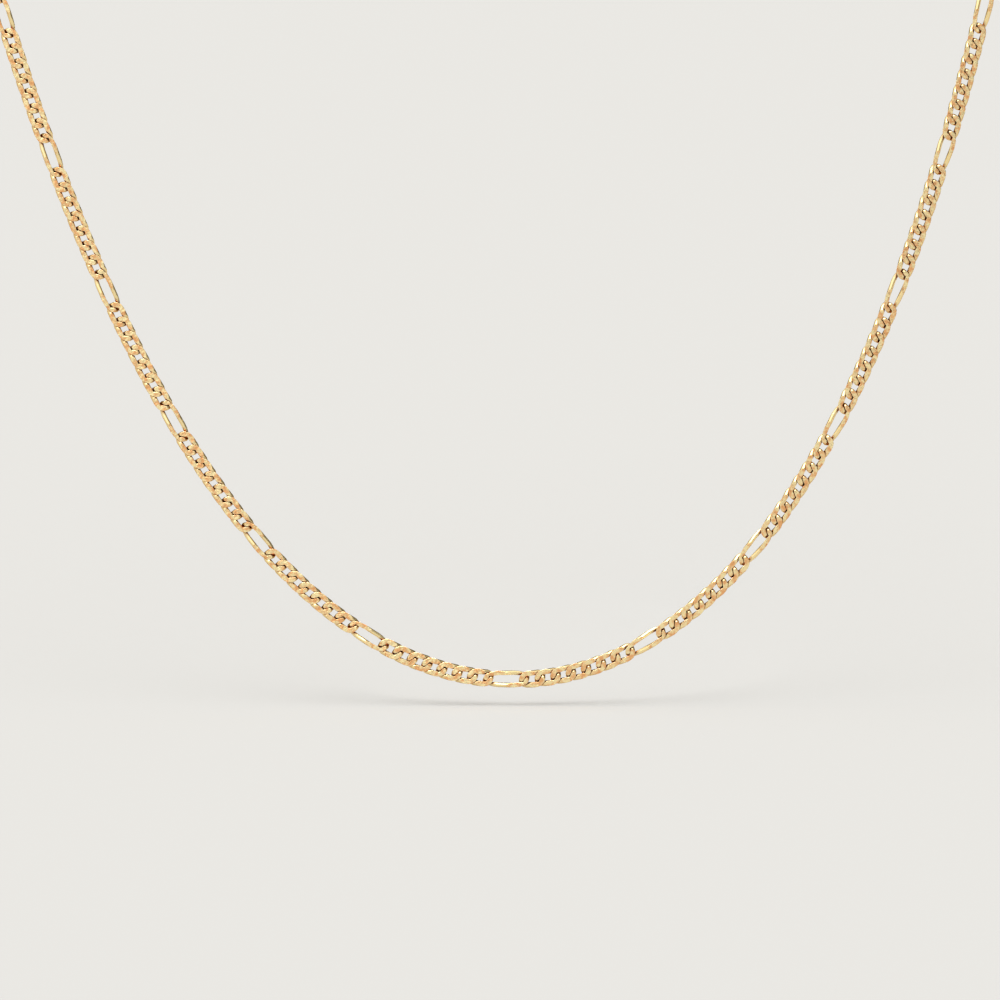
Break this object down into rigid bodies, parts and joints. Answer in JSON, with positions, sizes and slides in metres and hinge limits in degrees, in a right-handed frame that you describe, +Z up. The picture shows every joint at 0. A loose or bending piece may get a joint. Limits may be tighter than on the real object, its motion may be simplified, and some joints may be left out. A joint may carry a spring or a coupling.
{
  "type": "figaro chain necklace",
  "caption": "Flattened figaro chain in polished yellow gold, short curb links alternating with long oval ones, closed as a necklace by a lobster clasp between two jump rings.",
  "frame": {"origin": "middle of the nape, on the face of the clasp that rests against the neck", "axes": "+Z up, +X to the right seen from the front, -Y forwards; the front of the chain hangs at -Y, below the nape"},
  "size_m": [0.1366, 0.1038, 0.1435],
  "materials": {
    "chain": "polished yellow gold with flat ground faces",
    "findings": "polished yellow gold"
  },
  "bodies": {
    "root": {"chain_left": "chain", "chain_right": "chain", "jump_ring_left": "findings", "jump_ring_right": "findings", "clasp": "findings"}
  },
  "joints": []
}
